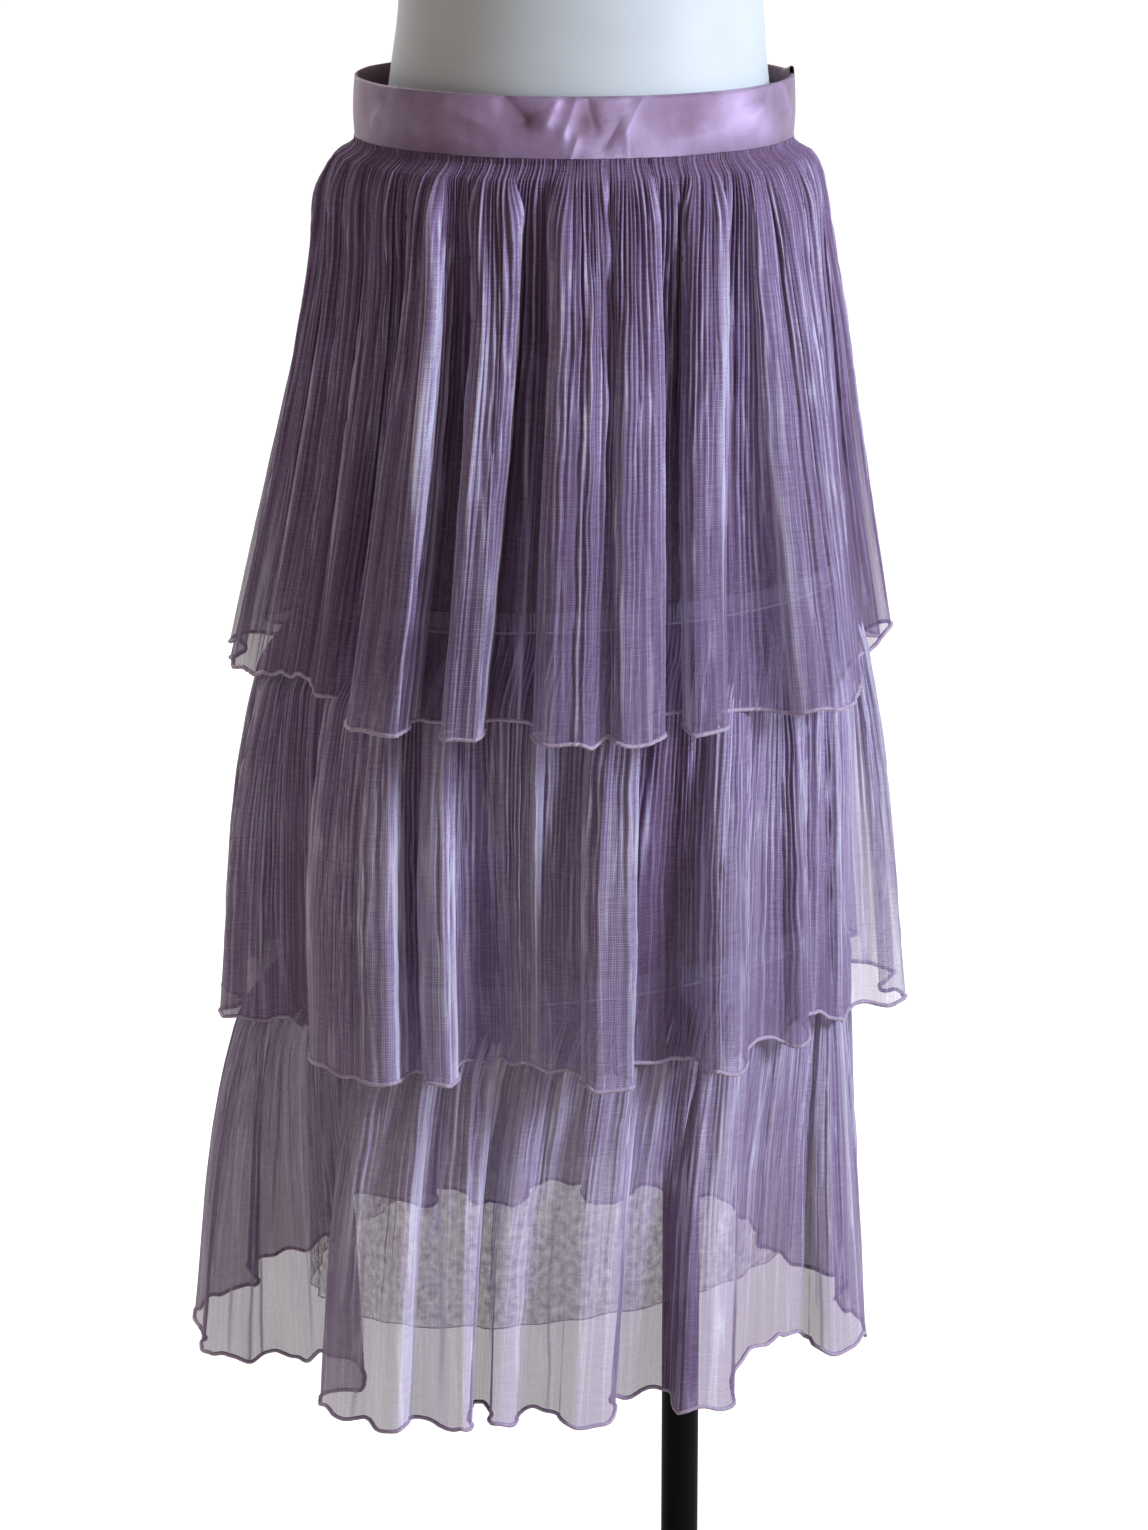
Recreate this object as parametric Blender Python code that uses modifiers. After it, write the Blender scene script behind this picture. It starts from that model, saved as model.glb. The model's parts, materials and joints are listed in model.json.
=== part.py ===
# A three-tier skirt of pleated tulle on a plain dress form with a pole stand.
# The origin is on the floor, at the middle of the stand's base, on the skirt's axis.
# The pole stands beside that axis, to its right in front view. -Y is the front.
import math
from collections import namedtuple

import bmesh
import bpy

MM = 0.001                  # the tables below are in millimetres

# Driving sizes, in metres
BAND_TOP = 1.050            # above the floor
BAND_HEIGHT = 0.036
BAND_WALL = 0.003           # folded satin over a stiffener
TULLE_WALL = 0.0012
SEAM_GAP = 0.0003           # between pieces that are sewn or stand on each other
POLE_X = 0.068              # the pole stands beside the skirt's axis
POLE_RADIUS = 0.0118
BASE_RADIUS = 0.160
BASE_HEIGHT = 0.008
BASE_EDGE = 0.003           # rounding of the base's top edge

# How finely the cloth is drawn
TULLE_COLUMNS = 168         # round a whole tier
LINING_COLUMNS = 84
BAND_COLUMNS = 96
FORM_COLUMNS = 48
POLE_COLUMNS = 32
BASE_COLUMNS = 64
BASE_EDGE_STEPS = 3
SHARP_ANGLE = 40            # degrees
GATHERS = 42                # gathers shown round each tier, four columns to each
SIDE = 90                   # bearing of the side seams, in degrees from the front
SEAM_RADIUS = 156           # millimetres, the lining's reach to the side seams
OPENING_GAP = 0.0030        # the band's side opening, on the right in front view

# The outline at one height, in millimetres: how far it lies to the right of the axis,
# and how far it reaches to the side, the front and the back. The last two columns are
# the shares of a tier's folds and of its small gathers that show at that height.
Section = namedtuple("Section", "height shift side front back folds gathers", defaults=(0, 0))

# One crest or valley of a tier's folds, at its hem. The bearing is in degrees from
# the front, positive to the right. The rest is in millimetres from the hem's mean
# outline: outward, along it, and upward.
Turn = namedtuple("Turn", "bearing out along rise")

GATHER_DEPTH = 1.3          # millimetres, half of a gather's height
HEADER_OFFSET = 1.6         # millimetres, from the middle of the lining to a header's
HEADER_SECTIONS = 2         # a sewn header's own sections, from its top to its stitches

BAND_BOTTOM = BAND_TOP - BAND_HEIGHT
BAND_SECTION = Section(BAND_BOTTOM / MM, 0, 129.5, 95.5, 86.5)
BAND_END_LIFT = 2.0         # millimetres, at the top corner of the band's back end
BAND_END_SPAN = 12.0        # degrees over which that lift dies away
BAND_ROWS = (1.0, 0.6, 0.0) # shares of the band's height, top first

LINING_SECTIONS = (
    Section(1013.7, 0, 128.7, 94.8, 86.0),
    Section(1010, 0, 128.7, 94.8, 86.0),
    Section(950, 0, 142, 109, 112),
    Section(850, 0, 156, 121, 142),
    Section(744, 0, 162, 126, 150),
    Section(520, -4, 163, 139, 155),
    Section(305, -10, 158, 128, 160),
)
LINING_TILT = 0.13          # the lining's hem rises to the right, by this slope

TIER_1_SECTIONS = (
    Section(1013.7, 0, 130.4, 96.4, 87.4, 0.0, 0.0),
    Section(1011, 0, 130.4, 96.4, 87.4, 0.0, 0.2),
    Section(1001, -1, 143, 107, 100, 0.03, 1.0),
    Section(930, -2, 157, 128, 131, 0.25, 1.0),
    Section(820, -7, 174, 150, 166, 0.55, 0.8),
    Section(690, -13, 194, 172, 200, 1.0, 0.3),
)
TIER_1_TURNS = (
    Turn(-90, 4, 0, 0),
    Turn(-79, -8, 0, 0),
    Turn(-62, -18, 4, 9),
    Turn(-50, -17, 2, 2),
    Turn(-43, -20, 4, 0),
    Turn(-37, 14, 18, 0),
    Turn(-32, 12, 22, 0),
    Turn(-26, -17, 14, 0),
    Turn(-19, 25, 20, 0),
    Turn(-12, -24, -4, 0),
    Turn(-6, -22, 0, 0),
    Turn(0, 20, 3, 0),
    Turn(9, 14, 0, 0),
    Turn(14, 21, -8, 0),
    Turn(18, 12, -5, 0),
    Turn(22, -21, -3, 0),
    Turn(27, -19, -10, 3),
    Turn(33, 10, -28, 0),
    Turn(38, 1, -26, 0),
    Turn(43, -11, -14, 0),
    Turn(50, 12, -2, 0),
    Turn(56, 15, 0, 0),
    Turn(66, 8, 0, 0),
    Turn(76, -1, 0, 4),
    Turn(84, 0, 0, 8),
    Turn(91, 10, 0, 22),
    Turn(98, 0, 0, 8),
    Turn(106, 12, 0, 0),
    Turn(114, -6, 0, 0),
    Turn(122, 12, 0, 0),
    Turn(131, -8, 0, 0),
    Turn(139, 18, 4, 0),
    Turn(147, -9, 0, 0),
    Turn(154, 12, 0, 0),
    Turn(162, -18, -3, 0),
    Turn(170, 20, 0, 0),
    Turn(178, -14, 0, 0),
    Turn(186, 14, 4, 0),
    Turn(194, -18, 0, 0),
    Turn(203, 16, 0, 0),
    Turn(211, -16, -4, 0),
    Turn(219, 18, 0, 0),
    Turn(228, -14, 0, 0),
    Turn(237, 14, 3, 0),
    Turn(246, -16, 0, 0),
    Turn(254, 12, 0, 0),
    Turn(262, -10, 0, 0),
)

TIER_2_SECTIONS = (
    Section(752, 0, 162, 126, 150, 0.0, 0.6),
    Section(740, 0, 162, 126, 150, 0.0, 0.4),
    Section(690, -9, 184, 140, 166, 0.1, 0.6),
    Section(590, -11, 201, 158, 195, 0.6, 0.8),
    Section(475, -10, 210, 166, 212, 1.0, 0.3),
)
TIER_2_TURNS = (
    Turn(-90, -3, 0, 3),
    Turn(-84, -12, 0, 0),
    Turn(-76, 0, 2, 0),
    Turn(-66, -20, 4, 2),
    Turn(-55, -21, 5, 3),
    Turn(-47, 8, 18, 0),
    Turn(-41, 14, 28, 0),
    Turn(-35, 20, 33, 0),
    Turn(-29, 2, 24, 0),
    Turn(-23, 14, 26, 0),
    Turn(-18, -16, 14, 3),
    Turn(-9, -15, 6, 5),
    Turn(0, -15, -3, 0),
    Turn(5, -6, -7, 0),
    Turn(10, 14, -14, 0),
    Turn(14, 14, -18, 0),
    Turn(19, -18, -20, 1),
    Turn(28, -19, -14, 2),
    Turn(34, -1, -28, 0),
    Turn(39, 0, -34, 0),
    Turn(46, -23, -16, 4),
    Turn(51, -14, -9, 0),
    Turn(58, -27, -8, 12),
    Turn(68, -22, -4, 0),
    Turn(76, -20, 0, 0),
    Turn(84, 0, 0, 0),
    Turn(92, 4, 0, 0),
    Turn(100, -6, 0, 0),
    Turn(108, 12, 0, 0),
    Turn(116, -14, 0, 0),
    Turn(124, 14, 0, 0),
    Turn(132, -18, 4, 0),
    Turn(140, 12, 0, 0),
    Turn(149, -16, 0, 0),
    Turn(157, 18, -4, 0),
    Turn(165, -14, 0, 0),
    Turn(173, 14, 0, 0),
    Turn(181, -18, 0, 0),
    Turn(190, 16, 4, 0),
    Turn(199, -14, 0, 0),
    Turn(207, 14, 0, 0),
    Turn(216, -18, -3, 0),
    Turn(225, 16, 0, 0),
    Turn(234, -14, 0, 0),
    Turn(242, 12, 0, 0),
    Turn(248, -6, 0, 0),
    Turn(254, 12, 0, 0),
    Turn(263, 5, 0, 0),
)

TIER_3_SECTIONS = (
    Section(527, -4, 163, 139, 155, 0.0, 0.6),
    Section(515, -4, 163, 139, 155, 0.0, 0.4),
    Section(465, -19, 186, 143, 171, 0.05, 0.7),
    Section(370, -27, 202, 160, 199, 0.58, 0.8),
    Section(257, -29, 211, 170, 215, 1.0, 0.3),
)
TIER_3_TURNS = (
    Turn(-90, 2, 4, 0),
    Turn(-83, -2, 14, 0),
    Turn(-76, 2, 18, 0),
    Turn(-70, -12, 18, 0),
    Turn(-65, -33, 8, 0),
    Turn(-59, -46, 12, 0),
    Turn(-53, -54, 14, 8),
    Turn(-47, -50, 28, 10),
    Turn(-42, -34, 24, 0),
    Turn(-37, -6, -2, 0),
    Turn(-31, 17, 3, 0),
    Turn(-27, 10, 3, 0),
    Turn(-23, 28, 12, 0),
    Turn(-19, 2, 5, 0),
    Turn(-14, 15, 14, 0),
    Turn(-10, 8, 2, 0),
    Turn(-6, -36, -10, 0),
    Turn(-1, 4, -15, 0),
    Turn(5, -19, -14, 0),
    Turn(9, -13, -17, 0),
    Turn(14, 10, -20, 0),
    Turn(18, 4, -17, 0),
    Turn(22, -34, -14, 3),
    Turn(29, -33, -8, 4),
    Turn(35, 0, -30, 0),
    Turn(41, 4, -22, 0),
    Turn(46, -12, -24, 6),
    Turn(52, -33, -12, 16),
    Turn(61, -33, -3, 16),
    Turn(66, -30, 4, 8),
    Turn(72, -8, -13, 0),
    Turn(78, 4, -4, 0),
    Turn(86, 2, 0, 0),
    Turn(98, -10, 0, 0),
    Turn(106, 0, 0, 0),
    Turn(114, -26, 0, 6),
    Turn(124, -30, 0, 6),
    Turn(132, -6, 0, 0),
    Turn(141, 14, 0, 0),
    Turn(150, 30, 0, 0),
    Turn(156, 22, 0, 0),
    Turn(161, 28, 0, 0),
    Turn(167, -16, 0, 0),
    Turn(173, 26, 0, 0),
    Turn(178, 28, 0, 0),
    Turn(184, -20, 0, 0),
    Turn(189, -22, 0, 0),
    Turn(194, 30, 0, 0),
    Turn(200, -6, 0, 0),
    Turn(207, 28, 0, 0),
    Turn(214, 30, 0, 0),
    Turn(221, -10, 0, 0),
    Turn(230, -30, 0, 4),
    Turn(238, -14, 0, 0),
    Turn(246, -10, 0, 0),
    Turn(253, -26, 0, 0),
    Turn(261, -4, 0, 0),
)

FORM_SECTIONS = (
    Section(485.6, 2, 112, 82, 90),
    Section(492, 2, 122, 91, 100),
    Section(506, 2, 128, 96, 106),
    Section(560, 2, 134, 101, 113),
    Section(640, 1, 140, 105, 121),
    Section(720, 1, 146, 109, 129),
    Section(790, 1, 149, 111, 134),
    Section(850, 1, 148, 110, 133),
    Section(900, 2, 142, 106, 124),
    Section(950, 2, 132, 100.5, 108),
    Section(990, 3, 122, 95.4, 89),
    Section(1008, 3, 118.5, 93.9, 84.9),
    Section(1014, 3, 117.5, 93.7, 84.7),
    Section(1050, 3, 112.5, 91, 82.5),
    Section(1087, 4, 108.5, 86, 80),
    Section(1125, 4, 106, 82, 79),
    Section(1150, 4, 104, 80, 77),
    Section(1163, 4, 97, 73, 70),
    Section(1172, 4, 80, 58, 56),
    Section(1176, 4, 48, 34, 33),
)

Finish = namedtuple("Finish", "red green blue roughness metallic")

FINISHES = {
    "tulle": Finish(0.29, 0.20, 0.36, 0.75, 0.0),
    "lining": Finish(0.36, 0.30, 0.42, 0.8, 0.0),
    "satin": Finish(0.47, 0.30, 0.55, 0.35, 0.0),
    "form": Finish(0.78, 0.80, 0.80, 0.5, 0.0),
    "black": Finish(0.012, 0.013, 0.013, 0.4, 0.3),
}


def clear_scene():
    for item in list(bpy.data.objects):
        bpy.data.objects.remove(item, do_unlink=True)


def make_material(name, finish):
    material = bpy.data.materials.new(name)
    material.use_nodes = True
    shader = material.node_tree.nodes["Principled BSDF"]
    shader.inputs["Base Color"].default_value = (finish.red, finish.green, finish.blue, 1.0)
    shader.inputs["Roughness"].default_value = finish.roughness
    shader.inputs["Metallic"].default_value = finish.metallic
    return material


def outline_point(section, bearing):
    # A point of the outline, and its directions outward and along
    angle = math.radians(bearing)
    depth = section.front if math.cos(angle) > 0 else section.back
    point = (section.shift + section.side * math.sin(angle), -depth * math.cos(angle))
    along_x = section.side * math.cos(angle)
    along_y = depth * math.sin(angle)
    length = math.hypot(along_x, along_y)
    along = (along_x / length, along_y / length)
    outward = (along[1], -along[0])
    return point, outward, along


def spline(before, start, end, after, share):
    # A smooth curve through start and end
    squared = share * share
    cubed = squared * share
    return 0.5 * (
        2 * start
        + (end - before) * share
        + (2 * before - 5 * start + 4 * end - after) * squared
        + (3 * start - before - 3 * end + after) * cubed
    )


def fold_at(turns, bearing):
    # Out, along and rise at this bearing, from the four turns about it
    first = turns[0].bearing
    place = (bearing - first) % 360 + first
    index = sum(1 for turn in turns if turn.bearing <= place) - 1
    near = [turns[(index + step) % len(turns)] for step in (-1, 0, 1, 2)]
    span = (near[2].bearing - near[1].bearing) % 360
    share = (place - near[1].bearing) / span
    return [spline(*(turn[column] for turn in near), share) for column in (1, 2, 3)]


def lining_lift(x, height):
    # How far the lining, and what is sewn to it, rises to the right at this height
    top = LINING_SECTIONS[0].height
    hem = LINING_SECTIONS[-1].height
    return LINING_TILT * x * (top - height) / (top - hem)


def lining_point(section, bearing):
    (x, y), _, _ = outline_point(section, bearing)
    return x, y, section.height + lining_lift(x, section.height)


def tier_point(sections, turns, row, bearing, sewn_to_lining):
    section = sections[row]
    (x, y), outward, along = outline_point(section, bearing)
    out, shift, rise = (value * section.folds for value in fold_at(turns, bearing))
    out += GATHER_DEPTH * section.gathers * (1 + math.cos(math.radians(bearing * GATHERS)))
    z = section.height + rise
    if sewn_to_lining:
        # The header lies on the lining and slopes with it, and the hem is level
        hem = sections[-1].height
        stitches = sections[HEADER_SECTIONS - 1].height
        share = min(1.0, (section.height - hem) / (stitches - hem))
        z += share * lining_lift(x, section.height)
        if row < HEADER_SECTIONS:
            out += HEADER_OFFSET
    x += outward[0] * out + along[0] * shift
    y += outward[1] * out + along[1] * shift
    return x, y, z


def place(point):
    return tuple(value * MM for value in point)


def bearings_between(start, end, columns):
    # Column bearings of a piece, drawn in by half the seam's gap at each end
    inset = math.degrees(0.5 * SEAM_GAP / (SEAM_RADIUS * MM))
    bearings = [start + (end - start) * step / columns for step in range(columns + 1)]
    bearings[0] += inset
    bearings[-1] -= inset
    return bearings


def add_wall(name, rows, thickness, material, collection):
    # A wall of cloth through rows of points, top row first, left to right
    mesh = bpy.data.meshes.new(name)
    columns = len(rows[0])
    points = [place(point) for row in rows for point in row]
    faces = []
    for row in range(len(rows) - 1):
        for column in range(columns - 1):
            corner = row * columns + column
            faces.append((corner, corner + columns, corner + columns + 1, corner + 1))
    mesh.from_pydata(points, [], faces)
    mesh.shade_smooth()
    item = bpy.data.objects.new(name, mesh)
    item.data.materials.append(material)
    collection.objects.link(item)
    wall = item.modifiers.new("Wall", "SOLIDIFY")
    wall.thickness = thickness
    wall.offset = 0.0


def add_halves(name, columns, rows, point_at, material, collection):
    # The front and back pieces of a tube of cloth, seamed at the sides
    for half, start in (("front", -SIDE), ("back", SIDE)):
        bearings = bearings_between(start, start + 180, columns // 2)
        points = [[point_at(row, bearing) for bearing in bearings] for row in range(rows)]
        add_wall(f"{name}_{half}", points, TULLE_WALL, material, collection)


def add_lining(material, collection):
    def point_at(row, bearing):
        return lining_point(LINING_SECTIONS[row], bearing)

    rows = len(LINING_SECTIONS)
    add_halves("lining", LINING_COLUMNS, rows, point_at, material, collection)


def add_tier(name, sections, turns, sewn_to_lining, material, collection):
    def point_at(row, bearing):
        return tier_point(sections, turns, row, bearing, sewn_to_lining)

    add_halves(name, TULLE_COLUMNS, len(sections), point_at, material, collection)


def add_waistband(material, collection):
    # One strip round the waist, open at the right side, its back end a little high
    half_opening = math.degrees(0.5 * OPENING_GAP / (BAND_SECTION.side * MM))
    start = SIDE + half_opening
    sweep = 360 - 2 * half_opening
    rows = []
    for share in BAND_ROWS:
        row = []
        for step in range(BAND_COLUMNS + 1):
            bearing = start + sweep * step / BAND_COLUMNS
            (x, y), _, _ = outline_point(BAND_SECTION, bearing)
            lift = BAND_END_LIFT * max(0.0, 1 - (bearing - start) / BAND_END_SPAN)
            row.append((x, y, BAND_SECTION.height + share * (BAND_HEIGHT / MM + lift)))
        rows.append(row)
    add_wall("waistband", rows, BAND_WALL, material, collection)


def add_form(material, collection):
    # A smooth body from below the hips to just above the waist, capped at both ends
    shape = bmesh.new()
    loops = []
    for section in FORM_SECTIONS:
        loop = []
        for column in range(FORM_COLUMNS):
            (x, y), _, _ = outline_point(section, column * 360 / FORM_COLUMNS)
            loop.append(shape.verts.new(place((x, y, section.height))))
        loops.append(loop)
    for lower, upper in zip(loops, loops[1:]):
        for column in range(FORM_COLUMNS):
            after = (column + 1) % FORM_COLUMNS
            shape.faces.new((lower[column], lower[after], upper[after], upper[column]))
    shape.faces.new(reversed(loops[0]))
    shape.faces.new(loops[-1])
    mesh = bpy.data.meshes.new("dress_form")
    shape.to_mesh(mesh)
    shape.free()
    mesh.shade_smooth()
    item = bpy.data.objects.new("dress_form", mesh)
    item.data.materials.append(material)
    collection.objects.link(item)


def add_pole(material, collection):
    # A plain tube's outside, from the base up to the form's underside
    bottom = BASE_HEIGHT + SEAM_GAP
    top = FORM_SECTIONS[0].height * MM - SEAM_GAP
    bpy.ops.mesh.primitive_cylinder_add(
        vertices=POLE_COLUMNS,
        radius=POLE_RADIUS,
        depth=top - bottom,
        location=(POLE_X, 0, 0.5 * (top + bottom)),
    )
    item = bpy.context.object
    item.name = "stand_pole"
    item.data.name = "stand_pole"
    item.data.shade_smooth()
    item.data.set_sharp_from_angle(angle=math.radians(SHARP_ANGLE))
    item.data.materials.append(material)
    for owner in list(item.users_collection):
        owner.objects.unlink(item)
    collection.objects.link(item)


def add_base(material, collection):
    # A flat round plate with a rounded top edge, turned from its profile
    profile = [(0.0, BASE_HEIGHT)]
    for step in range(BASE_EDGE_STEPS + 1):
        angle = 0.5 * math.pi * step / BASE_EDGE_STEPS
        x = BASE_RADIUS - BASE_EDGE + BASE_EDGE * math.sin(angle)
        z = BASE_HEIGHT - BASE_EDGE + BASE_EDGE * math.cos(angle)
        profile.append((x, z))
    profile.append((BASE_RADIUS, 0.0))
    profile.append((0.0, 0.0))
    mesh = bpy.data.meshes.new("stand_base")
    points = [(x, 0.0, z) for x, z in profile]
    edges = [(index, index + 1) for index in range(len(points) - 1)]
    mesh.from_pydata(points, edges, [])
    item = bpy.data.objects.new("stand_base", mesh)
    item.data.materials.append(material)
    collection.objects.link(item)
    turn = item.modifiers.new("Turn", "SCREW")
    turn.steps = BASE_COLUMNS
    turn.render_steps = BASE_COLUMNS
    turn.use_merge_vertices = True
    turn.merge_threshold = 0.0001


def main():
    clear_scene()
    collection = bpy.data.collections.new("tiered_skirt_on_form")
    bpy.context.scene.collection.children.link(collection)
    looks = {name: make_material(name, finish) for name, finish in FINISHES.items()}
    add_waistband(looks["satin"], collection)
    add_lining(looks["lining"], collection)
    add_tier("tier_1", TIER_1_SECTIONS, TIER_1_TURNS, False, looks["tulle"], collection)
    add_tier("tier_2", TIER_2_SECTIONS, TIER_2_TURNS, True, looks["tulle"], collection)
    add_tier("tier_3", TIER_3_SECTIONS, TIER_3_TURNS, True, looks["tulle"], collection)
    add_form(looks["form"], collection)
    add_pole(looks["black"], collection)
    add_base(looks["black"], collection)


main()
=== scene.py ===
import json
import math
from collections import namedtuple

import bpy
import numpy as np
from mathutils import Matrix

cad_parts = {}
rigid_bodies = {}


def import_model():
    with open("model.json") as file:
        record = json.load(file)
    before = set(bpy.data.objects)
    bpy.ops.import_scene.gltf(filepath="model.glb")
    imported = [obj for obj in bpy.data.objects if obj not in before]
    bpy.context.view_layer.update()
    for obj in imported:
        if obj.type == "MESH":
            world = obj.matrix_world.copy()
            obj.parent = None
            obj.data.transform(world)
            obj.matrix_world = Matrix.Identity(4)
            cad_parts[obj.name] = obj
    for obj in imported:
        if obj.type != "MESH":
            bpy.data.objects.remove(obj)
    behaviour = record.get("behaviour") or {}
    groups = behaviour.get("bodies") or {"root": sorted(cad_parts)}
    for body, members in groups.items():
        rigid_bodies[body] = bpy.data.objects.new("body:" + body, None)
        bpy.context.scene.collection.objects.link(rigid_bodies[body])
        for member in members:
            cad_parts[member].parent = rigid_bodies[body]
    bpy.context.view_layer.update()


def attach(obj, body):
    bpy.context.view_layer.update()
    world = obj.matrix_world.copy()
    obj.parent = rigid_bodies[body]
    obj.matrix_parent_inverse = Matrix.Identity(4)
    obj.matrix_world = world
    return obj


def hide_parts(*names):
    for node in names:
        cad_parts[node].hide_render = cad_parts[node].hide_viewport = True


for leftover in list(bpy.data.objects):
    bpy.data.objects.remove(leftover, do_unlink=True)

print("skirt: loading the frame")
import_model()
mm = 0.001

# An outline at one height: how far it lies to the right of the middle, how far it reaches
# to the side, front and back, and the share of the tier's folds that shows there.
section = namedtuple("section", "height shift side front back folds", defaults=(0,))
# One crest or valley at a tier's hem: outward, along the hem and upward from its mean line
turn = namedtuple("turn", "bearing out along rise", defaults=(0, 0))
# A crease in a tier, from one share of its length to another: its width is in degrees at
# the hem, its height outward, and its foot leans to the side by some degrees
crease = namedtuple("crease", "bearing top foot width height lean", defaults=(0,))


def smoothStep(values):
    values = np.clip(values, 0.0, 1.0)
    return values * values * (3 - 2 * values)


def readTable(table, heights):
    # Each column of a table of sections at these heights, on a smooth curve
    rows = np.array(table, float)
    down = -rows[:, 0]
    rises = np.diff(rows, axis=0) / np.diff(down)[:, None]
    product = rises[:-1] * rises[1:]
    middle = np.where(product > 0, 2 * product / (rises[:-1] + rises[1:] + 1e-12), 0)
    slopes = np.concatenate((rises[:1], middle, rises[-1:]))
    wanted = np.clip(-np.asarray(heights, float), down[0], down[-1])
    index = np.clip(np.searchsorted(down, wanted, side="right") - 1, 0, len(down) - 2)
    step = (down[index + 1] - down[index])[:, None]
    share = (wanted - down[index])[:, None] / step
    start, end = rows[index], rows[index + 1]
    startSlope, endSlope = slopes[index] * step, slopes[index + 1] * step
    squared, cubed = share**2, share**3
    return (
        start * (2 * cubed - 3 * squared + 1)
        + startSlope * (cubed - 2 * squared + share)
        + end * (3 * squared - 2 * cubed)
        + endSlope * (cubed - squared)
    )


def outlinePoints(rows, bearings):
    # Points of each row's outline, with the directions outward and along: (rows, columns)
    angles = np.radians(bearings)[None, :]
    shift, side, front, back = (rows[:, column][:, None] for column in (1, 2, 3, 4))
    depth = np.where(np.cos(angles) > 0, front, back)
    x = shift + side * np.sin(angles)
    y = -depth * np.cos(angles)
    alongX, alongY = side * np.cos(angles), depth * np.sin(angles)
    length = np.hypot(alongX, alongY)
    alongX, alongY = alongX / length, alongY / length
    return x, y, (alongY, -alongX), (alongX, alongY)


def readTurns(turns, bearings):
    # Out, along and rise at each bearing, on a smooth closed curve through the turns
    table = np.array(turns, float)
    first = table[0, 0]
    place = (bearings - first) % 360 + first
    index = np.searchsorted(table[:, 0], place, side="right") - 1
    before, start, end, after = (table[(index + step) % len(table)] for step in (-1, 0, 1, 2))
    share = ((place - start[:, 0]) / ((end[:, 0] - start[:, 0]) % 360))[:, None]
    points = 0.5 * (
        2 * start
        + (end - before) * share
        + (2 * before - 5 * start + 4 * end - after) * share**2
        + (3 * start - before - 3 * end + after) * share**3
    )
    return points[:, 1], points[:, 2], points[:, 3]


def foldsAt(tier, bearings):
    # The same, with the folds squarer and their crests spread until the walls overlap
    out, along, rise = readTurns(tier["turns"], bearings)
    ahead, behind = (readTurns(tier["turns"], bearings + step)[0] for step in (0.5, -0.5))
    reach = range(-12, 13, 3)
    middle = sum(readTurns(tier["turns"], bearings + step)[0] for step in reach) / len(reach)
    height = tier["squareHeight"]
    swing = height * np.tanh(tier["squareness"] * (out - middle) / height)
    along = along - tier["overlap"] * np.tanh(swing * (ahead - behind) / 40)
    return middle + swing, along, rise


def unevenness(bearings, waves, seed):
    # A soft uneven wave between about -1 and 1 that closes round the skirt
    rng = np.random.default_rng(seed)
    total = 0.0
    for share in (0.55, 0.75, 0.9, 1.15, 1.4):
        turnsRound = max(1, round(waves * share))
        total = total + np.sin(np.radians(bearings) * turnsRound + rng.uniform(0, 2 * math.pi))
    return total / 2.4


def newPiece(name, shape, material):
    shape.materials.append(material)
    piece = bpy.data.objects.new(name, shape)
    bpy.context.scene.collection.objects.link(piece)
    return piece


def clothGrid(name, points, cutSize, attributes, material):
    # A thin shell through a grid of points in millimetres, top row first
    rows, columns = points.shape[:2]
    corners = np.arange(rows * columns).reshape(rows, columns)
    faces = np.stack(
        (corners[:-1, :-1], corners[1:, :-1], corners[1:, 1:], corners[:-1, 1:]), axis=-1
    ).reshape(-1, 4)
    mesh = bpy.data.meshes.new(name)
    mesh.from_pydata((points.reshape(-1, 3) * mm).tolist(), [], faces.tolist())
    across, down = np.meshgrid(np.linspace(0, cutSize[0], columns), np.linspace(0, cutSize[1], rows))
    cut = np.stack((across, -down), axis=-1).reshape(-1, 2)
    layer = mesh.uv_layers.new(name="cut")
    layer.data.foreach_set("uv", cut[faces.reshape(-1)].ravel().astype(np.float32))
    for attribute, values in attributes.items():
        stored = mesh.attributes.new(attribute, "FLOAT", "POINT")
        stored.data.foreach_set("value", values.ravel().astype(np.float32))
    mesh.shade_smooth()
    return newPiece(name, mesh, material)


def threadAlong(name, points, radius, material):
    # A round thread or rolled edge through points in millimetres
    curve = bpy.data.curves.new(name, "CURVE")
    curve.dimensions = "3D"
    curve.bevel_depth = radius * mm
    curve.bevel_resolution = 1
    curve.use_fill_caps = True
    spline = curve.splines.new("POLY")
    spline.points.add(len(points) - 1)
    places = np.concatenate((points * mm, np.ones((len(points), 1))), axis=1)
    spline.points.foreach_set("co", places.ravel())
    spline.use_smooth = True
    return newPiece(name, curve, material)


def newMaterial(name, sockets):
    # A material with its node tree and its shader, whose sockets have these values
    material = bpy.data.materials.new(name)
    material.use_nodes = True
    shader = material.node_tree.nodes["Principled BSDF"]
    for socket, value in sockets.items():
        shader.inputs[socket].default_value = value
    return material, material.node_tree, shader


def mathNode(tree, operation, *values):
    node = tree.nodes.new("ShaderNodeMath")
    node.operation = operation
    for socket, value in zip(node.inputs, values):
        if isinstance(value, (int, float)):
            socket.default_value = value
        else:
            tree.links.new(value, socket)
    return node.outputs[0]


def addAbove(tree, base, source, amount, middle):
    # The base, raised where the source is above its middle and lowered where it is below
    change = mathNode(tree, "MULTIPLY_ADD", source, amount, -middle * amount)
    return mathNode(tree, "ADD", base, change)


def nearZero(tree, value, reach):
    # 1 where the value is 0, down to 0 where it has this reach
    node = tree.nodes.new("ShaderNodeMapRange")
    node.inputs["From Max"].default_value = reach
    node.inputs["To Min"].default_value = 1.0
    node.inputs["To Max"].default_value = 0.0
    tree.links.new(value, node.inputs["Value"])
    return node.outputs["Result"]


def attributeNode(tree, name):
    node = tree.nodes.new("ShaderNodeAttribute")
    node.attribute_name = name
    return node.outputs["Fac"]


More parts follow.
